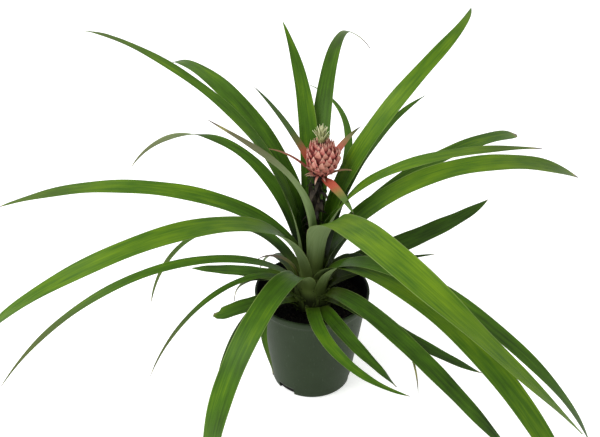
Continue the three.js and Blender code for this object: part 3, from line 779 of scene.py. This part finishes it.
def fruit_core(rows=48, columns=72):
    """The flesh between the eyes: the barrel, with a radius that waves five times round."""
    share = np.linspace(0.004, 0.996, rows)[:, None]
    turn = full_turn(columns)[None]
    radius = fruit_radius(share) * (1 + 0.02 * np.sin(5 * turn + 9 * share))
    grid = np.stack([radius * np.cos(turn), radius * np.sin(turn), FRUIT_HEIGHT * share + 0 * turn], -1)
    return grid + FRUIT_BASE, {"share": 0.0, "eye": 0.5, "core": 1.0, "edge": 0.0}


print("fruit radius, foot to top:", fruit_radius(np.linspace(0.1, 0.9, 5)).round(1))

# %% Eyes
EYES_ROUND, EYE_ROWS = 11, 9
EYE_SINK, EYE_DROP = 0.6, 3.6  # how far an eye's foot lies inside and below its place
EYE_LENGTH = (9.5, 12.5)  # on the fruit's foot and on its top
EYE_WIDTH = (6.6, 10.6)  # where the fruit is narrow and where it is full
EYE_RISE, EYE_UPTURN = (18, 50), (80, 86)  # slopes of foot and point, on foot and top
EYE_SWELL = 3.6  # thickness of an eye near its foot


def fruit_eye(level, place, chance):
    """One eye: a fleshy scale that lies on the barrel and lifts into a point. Its path
    leans out at the foot and turns up, and those near the top stand up higher; its width
    falls with 1 - share ** 1.7."""
    share = (level + 0.5 * (chance[0] - 0.5)) / (EYE_ROWS + 1)
    bearing = 180 * (place + 0.6 * (chance[1] - 0.5)) / EYES_ROUND
    foot = FRUIT_BASE + around(fruit_radius(share) - EYE_SINK, bearing, FRUIT_HEIGHT * share - EYE_DROP)
    length = lerp(*EYE_LENGTH, share ** 2) * lerp(0.75, 1.2, chance[2])
    path = blade_path(foot, bearing, lerp(*EYE_RISE, share), lerp(*EYE_UPTURN, share) + 26 * chance[0],
                      0.6, length, lerp(-40, 40, chance[1]), lerp(-24, 24, chance[2]), 12)
    along = path[0]
    full = lerp(*EYE_WIDTH, fruit_radius(share) / FRUIT_RADIUS) * lerp(0.7, 1.15, chance[0])
    half = np.maximum(full / 2 * (0.62 + 0.38 * smoothstep(along, 0, 0.3)) * (1 - along ** 1.7), 0.2)
    grid, across, _ = blade(path, half, -0.22 * half, EYE_SWELL * (1 - 0.92 * along ** 1.3), 14)
    return grid, {"share": along[:, None], "eye": chance[0], "core": 0.0, "edge": np.abs(across)}


eyes = [fruit_eye(level, 2 * k + level % 2, [scatter(level, k, n) for n in range(3)])
        for level in range(1, EYE_ROWS + 1) for k in range(EYES_ROUND)]
print("eyes", len(eyes))

# %% Slender bracts round the crown's foot
TOP_SPIKES = 26
SPIKE_AWAY, SPIKE_LEVEL = (5.0, 11.5), (38.5, 34.0)  # the outer ones start lower
SPIKE_LENGTH, SPIKE_HALF = (7, 12), (1.2, 2.0)


def top_spike(k):
    """One bract: it springs a golden angle on from the last and stands nearly upright;
    its width falls with 1 - share ** 1.5."""
    chance = chances(k, 50, 3)
    bearing = GOLDEN_ANGLE * k
    foot = FRUIT_BASE + around(lerp(*SPIKE_AWAY, chance[0]), bearing, lerp(*SPIKE_LEVEL, chance[0]))
    path = blade_path(foot, bearing, lerp(84, 66, chance[0]), 88, 1.0, lerp(*SPIKE_LENGTH, chance[1]), 0,
                      lerp(-40, 40, chance[2]), 10)
    along = path[0]
    half = np.maximum(lerp(*SPIKE_HALF, chance[2]) * (1 - along ** 1.5), 0.15)
    grid, across, _ = blade(path, half, 0.3 * half, 1.2, 8)
    return grid, {"share": lerp(0.35, 1, along)[:, None], "eye": chance[2], "core": 0.0,
                  "edge": np.abs(across)}


spikes = [top_spike(k) for k in range(TOP_SPIKES)]
print("spikes", len(spikes))

# %% [markdown]
# The skin of the young fruit is coral pink and slightly waxy. It is dark red in the
# seams between the eyes, and each eye pales towards its point, which dries to cream.
# The dark seams and the dark foot and sides of each eye are partly painted shade, where
# the eyes overlap, and the pale points are partly a painted highlight.
# Some eyes are more tan and some more pink. One colour with noise would look like paint,
# so the colour runs along each eye and darkens at its sides.

# %% Coral pineapple skin
FRUIT_GRAIN = 2.0  # millimetres between two mottles


def fruit_skin():
    """A ramp along the eye, darker at its foot as painted shade and paler at its point as a
    painted highlight, mottled; then tan for some eyes, and red at seams and core, partly
    painted shade.
    """
    made = new_material("coral pineapple skin")
    share, eye, core, edge = stored(made, "share", "eye", "core", "edge")
    place = add(made, "ShaderNodeTexCoord", out="Object")
    grain = noise(made, place, 1 / (FRUIT_GRAIN * MM), 4.0, 0.6)
    # dark at each eye's foot as painted shade where the eyes overlap; pale at its point, partly the
    # dried cream tip and partly a painted highlight
    flesh = ramp(made, share, ((0.0, "6c211e"), (0.35, "b8605a"), (0.72, "cf9486"), (1.0, "d9bba2")))
    flesh = cover(made, flesh, "LINEAR", (
        (grain, 0.4, 0.7, 0.6, "a8544c"), (eye, 0.55, 1.0, 0.45, "b98c74")))
    # painted shade at the sides of each eye, where it meets the next
    flesh = cover(made, flesh, "SMOOTHSTEP", ((edge, 0.75, 1.0, 0.55, "8a3a33"),))
    # the flesh in the seams between the eyes: dark red, partly painted shade
    flesh = cover(made, flesh, "LINEAR", ((core, 0.0, 1.0, 1.0, "5e1d1a"),))
    return surface(made, flesh, 0.5, 0.4, grain, 0.3)


fruit = add_piece("fruit_eyes", [fruit_core()] + eyes + spikes, fruit_skin(), ["fruit"])
print("fruit", triangles(fruit), "triangles")

# %% [markdown]
# ## The crown
# The crown is a tuft of pale, pointed leaflets, matt as young leaves are. They spring in a
# spiral, each a golden angle on from the last, and the inner ones stand straighter and
# longer. That rule is how a real crown grows, so the small blade is simply repeated by it.

# %% Crown
CROWN_HEIGHT, CROWN_RADIUS, LEAFLETS = 22.0, 4.2, 17
CROWN = tinted_material("pale crown leaflets", [
    (0.0, "8f8f5c"), (0.4, "bcc08a"), (1.0, "d8d6b4")], "a8a884", 0.6, 0.2)
crown_foot = STALK_TOP + np.array([1.0, 0.0, FRUIT_HEIGHT + 0.6])
core = lathe([(CROWN_RADIUS, -1), (CROWN_RADIUS, 3), (CROWN_RADIUS * 0.5, CROWN_HEIGHT * 0.4),
              (0.4, CROWN_HEIGHT * 0.55)], 24) + crown_foot
parts = [(core, {"along": 0.1, "tone": 0.3})]
for k in range(LEAFLETS):
    inner = k / (LEAFLETS - 1)
    bearing = k * GOLDEN_ANGLE
    chance = scatter(k, 5)
    foot = crown_foot + around(CROWN_RADIUS * lerp(0.9, 0.2, inner), bearing, 0.5 + 5 * inner)
    length = (0.6 + 0.16 * inner + 0.14 * chance) * CROWN_HEIGHT
    parts.append(small_blade(foot, bearing, lerp(60, 86, inner), lerp(46, 84, inner), 1.0, length,
                             lerp(6.0, 4.6, inner), lerp(0.3, 1.0, chance), cup=0.35))
crown = add_piece("crown_leaflets", parts, CROWN, ["crown"])
print("crown", LEAFLETS, "leaflets,", triangles(crown), "triangles")

# %% [markdown]
# ## The bracts
# Five long bracts spring from under the fruit. They are coral red at the foot, turn
# olive and then green along their length, and end in a dark thread. They are blades like
# the leaves, only small, so one table gives their paths and another their colours.

# %% Table of bracts
BRACT_TERMS = ("name", "bearing", "rise", "droop", "bend", "length", "swing", "width", "roll")
BRACTS = [dict(zip(BRACT_TERMS, row)) for row in [
    ("bract_left_thin", 156, 42, -9, 1.2, 75, 2, 4.5, 10),
    ("bract_left_up", 134, 50, 27, 0.94, 138, 7, 10, 11),
    ("bract_right_up", 47, 48, 23, 1.1, 78, -15, 11, -11),
    ("bract_right_thin", 7, 34, -27, 1.2, 42, -2, 4.5, -10),
    ("bract_front_long", -55, 7, -37, 0.87, 66, 2, 13, -10),
]]
BRACT_COLOURS = {
    "left_thin": [(0.0, "8a3f34"), (0.5, "8a4f3c"), (1.0, "8f7350")],
    "left_up": [(0.0, "a8402f"), (0.2, "ad4c36"), (0.34, "5c5c24"), (0.46, "3c561a"),
                (0.94, "34501c"), (1.0, "3a342c")],
    "right_up": [(0.0, "a84434"), (0.52, "b65a44"), (0.72, "6f6a34"), (0.9, "4c5028"),
                 (1.0, "332c28")],
    "right_thin": [(0.0, "a06a50"), (0.5, "ad8560"), (1.0, "a89468")],
    "front_long": [(0.0, "a8483a"), (0.33, "bc5a44"), (0.5, "8c7a3c"), (0.66, "5c7a30"),
                   (0.94, "587832"), (1.0, "4a4036")],
}
print("bracts", [bract["name"] for bract in BRACTS])

# %% Long bracts
BRACT_DROP, BRACT_SEAT_RADIUS = 6.0, 5.2
BRACT_TAPER, BRACT_CUP, BRACT_THICK, BRACT_LEAST_HALF = 2.4, 0.2, 1.3, 0.3
BRACT_ROWS, BRACT_COLUMNS = 40, 20


def bract_parts(bract):
    """A bract: the leaf's outline on a path that starts at the top of the stalk."""
    radius = seat_radius(BRACT_SEAT_RADIUS, bract["rise"])
    start = STALK_TOP + around(radius, bract["bearing"], -BRACT_DROP)
    path = blade_path(start, *path_terms(bract), BRACT_ROWS)
    share = path[0]
    _, half, cup = outline(share, bract["width"], BRACT_TAPER, radius, BRACT_CUP)
    half = np.maximum(half, BRACT_LEAST_HALF)
    grid = blade(path, half, half * cup, BRACT_THICK, BRACT_COLUMNS)[0]
    return grid, {"along": share[:, None], "tone": 0.7}


for bract in BRACTS:
    kind = bract["name"].removeprefix("bract_")
    finish = tinted_material("reddened bract " + kind.replace("_", " "), BRACT_COLOURS[kind],
                             "a09884", 0.5, 0.15)
    add_piece("bractlet_" + kind, [bract_parts(bract)], finish, [bract["name"]])
print("long bracts", len(BRACTS))

# %% [markdown]
# A collar of short curled bracts, pink and cream, fills the place between the long ones.
# They are too many and too alike for a table, so chance gives each its curl and length.

# %% Collar of short bracts
COLLAR_BRACTS, COLLAR_SEAT, COLLAR_SINK = 13, 5.0, 2.0
COLLAR_RISE, COLLAR_DROOP = (10, 34), (-70, 60)
COLLAR_LENGTH, COLLAR_WIDTH = (12, 20), (3, 5.5)
PINK = tinted_material("curled pink collar bract", [
    (0.0, "8c443c"), (0.55, "b97c6e"), (1.0, "cdb89c")], "94807a", 0.6, 0.2)
parts = []
for k in range(COLLAR_BRACTS):
    bearing = k * 360 / COLLAR_BRACTS + 20 * scatter(k, 8)
    chance, curl, breadth = chances(k, 9, 3)
    foot = STALK_TOP + around(COLLAR_SEAT, bearing, -COLLAR_SINK)
    parts.append(small_blade(foot, bearing, lerp(*COLLAR_RISE, chance), lerp(*COLLAR_DROOP, curl), 1.2,
                             lerp(*COLLAR_LENGTH, chance), lerp(*COLLAR_WIDTH, breadth),
                             lerp(0.3, 1.0, chance)))
add_piece("bract_collar", parts, PINK)
print("short bracts", COLLAR_BRACTS)

# %% [markdown]
# ## The soil
# The potting mix is dark peat with bits of bark. It is coloured nearly black, and it is
# too crumbly to shine. Particles would give crumbs, but they can't be exported, so its
# top is a disc raised by sums of sines at random places and sizes, and loose bits of bark
# lie on it as short thick blades.

# %% Measures of the pot and the soil
POT_HEIGHT, POT_RIM, POT_BASE, POT_WALL = 145.0, 76.0, 53.5, 1.8
RIM_STEP, RIM_BAND, POT_FLOOR = 1.6, 9.0, 2.6
SOIL_TOP, SOIL_FOOT, SOIL_GAP = 124.0, 2.9, 0.3


def pot_radius(height):
    """Outer radius of the pot's plain wall: it widens evenly with height."""
    return lerp(POT_BASE, POT_RIM - RIM_STEP, height / POT_HEIGHT)


edge_radius = pot_radius(SOIL_TOP) - POT_WALL - SOIL_GAP
print("the soil is", round(2 * edge_radius), "mm across")

# %% Peat
CRUMB_WAVES, CRUMB_HEIGHT, CRUMB_LEVEL = 24, 0.5, 0.6
CRUMB_CLOSENESS = (0.25, 1.55)  # radians in a millimetre, for the broadest and finest wave
SOIL_SIDES = 180
PEAT = plain_material("nearly black peat", "060605", "14110e", 0.8, 3, 1.2, 0.1)
rings = np.linspace(1, 0.04, 60)[:, None]
turn = full_turn(SOIL_SIDES)[None]
x, y = rings * edge_radius * np.cos(turn), rings * edge_radius * np.sin(turn)
waves = np.arange(CRUMB_WAVES)
courses, phases = scatter(waves, 20) * 6.28, scatter(waves, 22) * 6.28
closeness = lerp(*CRUMB_CLOSENESS, scatter(waves, 21))
crumbs = sum(np.sin(x * math.cos(a) * f + y * math.sin(a) * f + p)
             for a, f, p in zip(courses, closeness, phases))
top = np.stack([x, y, SOIL_TOP - CRUMB_LEVEL + CRUMB_HEIGHT * crumbs * (1 - rings ** 6)], -1)
wall = lathe([(pot_radius(SOIL_FOOT) - POT_WALL - SOIL_GAP, SOIL_FOOT), (edge_radius, SOIL_TOP - 3)],
             SOIL_SIDES)
soil = add_piece("soil_peat", [(np.concatenate([wall, top]), {})], PEAT, ["soil"])
print("soil", triangles(soil), "triangles")

# %% Bits of bark
BARK_BITS, BARK_FROM, BARK_THICK = 90, 26, 2.2
BARK = plain_material("composted bark", "0e0c0a", "241d17", 0.8, 2, 0.6, 0.1)
parts = []
for k in range(BARK_BITS):
    chance = chances(k, 30, 4)
    # the root of a chance spreads the bits evenly over the disc
    away = lerp(BARK_FROM, edge_radius - 5, math.sqrt(chance[0]))
    foot = around(away, chance[1] * 360, SOIL_TOP + 0.6)
    grid, _ = small_blade(foot, chance[2] * 360, lerp(-20, 30, chance[3]), 0, 1.0,
                          lerp(4, 10, chance[0]), lerp(2, 5, chance[3]), 0.5,
                          thick=BARK_THICK, rows=6, columns=8)
    parts.append((grid, {}))
add_piece("soil_bark", parts, BARK)
print("bits of bark", BARK_BITS)

# %% [markdown]
# ## The pot
# The pot is moulded polypropylene, dark green outside and black inside, with a band that
# stiffens its mouth and drain notches at its foot. Moulded plastic this matt shows only a
# wide, weak highlight, and handling leaves it a little paler along upright scuffs. Its
# two colours could be two slots, but the shell is one piece, so the finish tells inside
# from outside by the reach from the axis.

# %% Moulded green polypropylene
CLOUD_SIZE, SCUFF_SIZE, MOULD_GRAIN = 30.0, 2.5, 0.8
SCUFF_STRETCH = 0.12  # scuffs are some eight times as tall as wide
INSIDE_BLEND = 0.3  # millimetres over which the inside's black takes over


def outside_share(made, place):
    """1 outside and 0 inside: a place lies outside where its reach from the axis is more
    than the middle of the wall at its height."""
    height = add(made, "ShaderNodeSeparateXYZ", {0: place}, out=2)
    level = add(made, "ShaderNodeVectorMath", {0: place, 1: (1, 1, 0)}, operation="MULTIPLY")
    reach = add(made, "ShaderNodeVectorMath", {0: level}, out="Value", operation="LENGTH")
    slope = (POT_RIM - RIM_STEP - POT_BASE) / POT_HEIGHT
    middle = maths(made, "MULTIPLY_ADD", height, slope, (POT_BASE - POT_WALL / 2) * MM)
    beyond = maths(made, "SUBTRACT", reach, middle)
    return spread(made, beyond, -INSIDE_BLEND * MM, INSIDE_BLEND * MM)


def pot_finish():
    """Clouded green outside, paler where scuffed, and plain black inside."""
    made = new_material("matt green polypropylene")
    place = add(made, "ShaderNodeTexCoord", out="Object")
    clouds = noise(made, place, 1 / (CLOUD_SIZE * MM), 3.0)
    upright = add(made, "ShaderNodeMapping", {"Vector": place, "Scale": (1, 1, SCUFF_STRETCH)})
    scuffs = noise(made, upright, 1 / (SCUFF_SIZE * MM), 4.0, 0.7)
    green = mix(made, clouds, "212d18", "293722")
    green = cover(made, green, "LINEAR", ((scuffs, 0.6, 0.8, 0.3, "6b7766"),))
    tint = mix(made, outside_share(made, place), "0c0e10", green)
    rough = spread(made, scuffs, 0, 1, 0.6, 0.4)
    grain = noise(made, place, 1 / (MOULD_GRAIN * MM), 2.0)
    return surface(made, tint, rough, 0.12, grain, 0.05, IOR=1.49)


POT = pot_finish()
print("material", POT.name, len(POT.node_tree.nodes), "nodes")

# %% Turn the pot
band_foot = POT_HEIGHT - RIM_BAND
mouth = RIM_STEP + POT_WALL  # from the rim's outside to the wall's inside
foot_round = [(POT_BASE - 2.2, 0), (POT_BASE - 0.9, 0.3), (POT_BASE - 0.1, 1.1)]
outer = [(pot_radius(h), h) for h in np.linspace(2.5, band_foot, 24)]
band = [(pot_radius(band_foot) + 0.3, band_foot + 0.25), (POT_RIM - 0.7, band_foot + 0.9),
        (POT_RIM - 0.35, band_foot + 1.5)]
# the lip's corners, each an inset from the rim's radius and a drop from its top
lip = [(POT_RIM - inset, POT_HEIGHT - drop) for inset, drop in (
    (0, 1.3), (0.15, 0.5), (0.7, 0.08), (1.3, 0), (mouth - 0.9, 0), (mouth - 0.2, 0.4))]
inner = [(pot_radius(h) - POT_WALL, h) for h in [POT_HEIGHT - 2, *np.linspace(
    POT_HEIGHT - 10, POT_FLOOR + 2, 12)]]
floor_edge = [(pot_radius(POT_FLOOR) - POT_WALL - 1.5, POT_FLOOR)]
profile = foot_round + outer + band + lip + inner + floor_edge
pot = add_piece("pot_shell", [(lathe(profile, 192), {})], POT, ["pot"])
print("pot profile", len(profile), "points")

# %% [markdown]
# The drain notches are cut out of the foot. A mould cuts them square, so a box taken away
# from the shell gives the same clean corners, and the shell stays one closed skin.

# %% Cut the notches
NOTCH_BEARINGS, NOTCH_WIDTH, NOTCH_HEIGHT = (-130, -10, 110), 25.0, 11.0
CUTTER_DEPTH = 16.0  # enough to pass right through the foot's corner

cutters = []
for bearing in NOTCH_BEARINGS:
    bpy.ops.mesh.primitive_cube_add(size=1)
    cutter = bpy.context.object
    cutter.scale = (CUTTER_DEPTH * MM, NOTCH_WIDTH * MM, 2 * NOTCH_HEIGHT * MM)
    cutter.rotation_euler = (0, 0, math.radians(bearing))
    cutter.location = around(POT_BASE * MM, bearing, 0)
    modifier = pot.modifiers.new("notch", "BOOLEAN")
    modifier.operation, modifier.solver, modifier.object = "DIFFERENCE", "EXACT", cutter
    cutters.append(cutter)
bpy.context.view_layer.update()
cut = bpy.data.meshes.new_from_object(pot.evaluated_get(bpy.context.evaluated_depsgraph_get()))
pot.modifiers.clear()
pot.data = cut
for cutter in cutters:
    bpy.data.objects.remove(cutter)
print("pot", triangles(pot), "triangles")

# %% [markdown]
# ## Floor and light
# A pale floor under a white sky lights the plant evenly from all sides. Lamps alone would
# leave black gaps between the leaves, so the sky does most of the work. One wide lamp up
# on the left gives the leaves their satin streaks and the pot its lighter left side, and a
# weak one on the right opens the shadows.

# %% Floor
FLOOR_HALF = 12.0  # metres, so that the floor fills a view from above
FLOOR_GLOW = 0.45  # keeps the paper white under the plant

white_paper = new_material("white paper")
paper = add(white_paper, "ShaderNodeBsdfPrincipled", {
    "Base Color": colour("ffffff"), "Roughness": 0.9, "Specular IOR Level": 0.2,
    "Emission Color": colour("ffffff"), "Emission Strength": FLOOR_GLOW})
add(white_paper, "ShaderNodeOutputMaterial", {0: paper})
floor_mesh = bpy.data.meshes.new("floor")
floor_mesh.from_pydata([(-FLOOR_HALF, -FLOOR_HALF, 0), (FLOOR_HALF, -FLOOR_HALF, 0),
                        (FLOOR_HALF, FLOOR_HALF, 0), (-FLOOR_HALF, FLOOR_HALF, 0)], [], [(0, 1, 2, 3)])
floor_mesh.materials.append(white_paper)
floor = bpy.data.objects.new("floor", floor_mesh)
bpy.context.scene.collection.objects.link(floor)
print("floor", 2 * FLOOR_HALF, "m wide")

# %% Sky and lamps
SKY_STRENGTH = 0.75
PLANT_MIDDLE = Vector((0, 0, 0.2))

world = bpy.data.worlds.new("white studio")
world.use_nodes = True
world.node_tree.nodes["Background"].inputs["Color"].default_value = (1, 1, 1, 1)
world.node_tree.nodes["Background"].inputs["Strength"].default_value = SKY_STRENGTH
bpy.context.scene.world = world
bpy.context.scene.view_settings.view_transform = "Standard"


def add_lamp(name, place, size, watts):
    """A square lamp that faces the plant's middle; its place and size are in metres."""
    data = bpy.data.lights.new(name, "AREA")
    data.size, data.energy = size, watts
    lamp = bpy.data.objects.new(name, data)
    lamp.location = place
    lamp.rotation_euler = (PLANT_MIDDLE - Vector(place)).to_track_quat("-Z", "Y").to_euler()
    bpy.context.scene.collection.objects.link(lamp)
    return lamp


lamps = [add_lamp("key", (-1.4, -0.9, 2.2), 1.2, 50), add_lamp("fill", (1.6, -0.6, 1.8), 1.6, 3)]
print("lamps", [lamp.data.energy for lamp in lamps], "W")
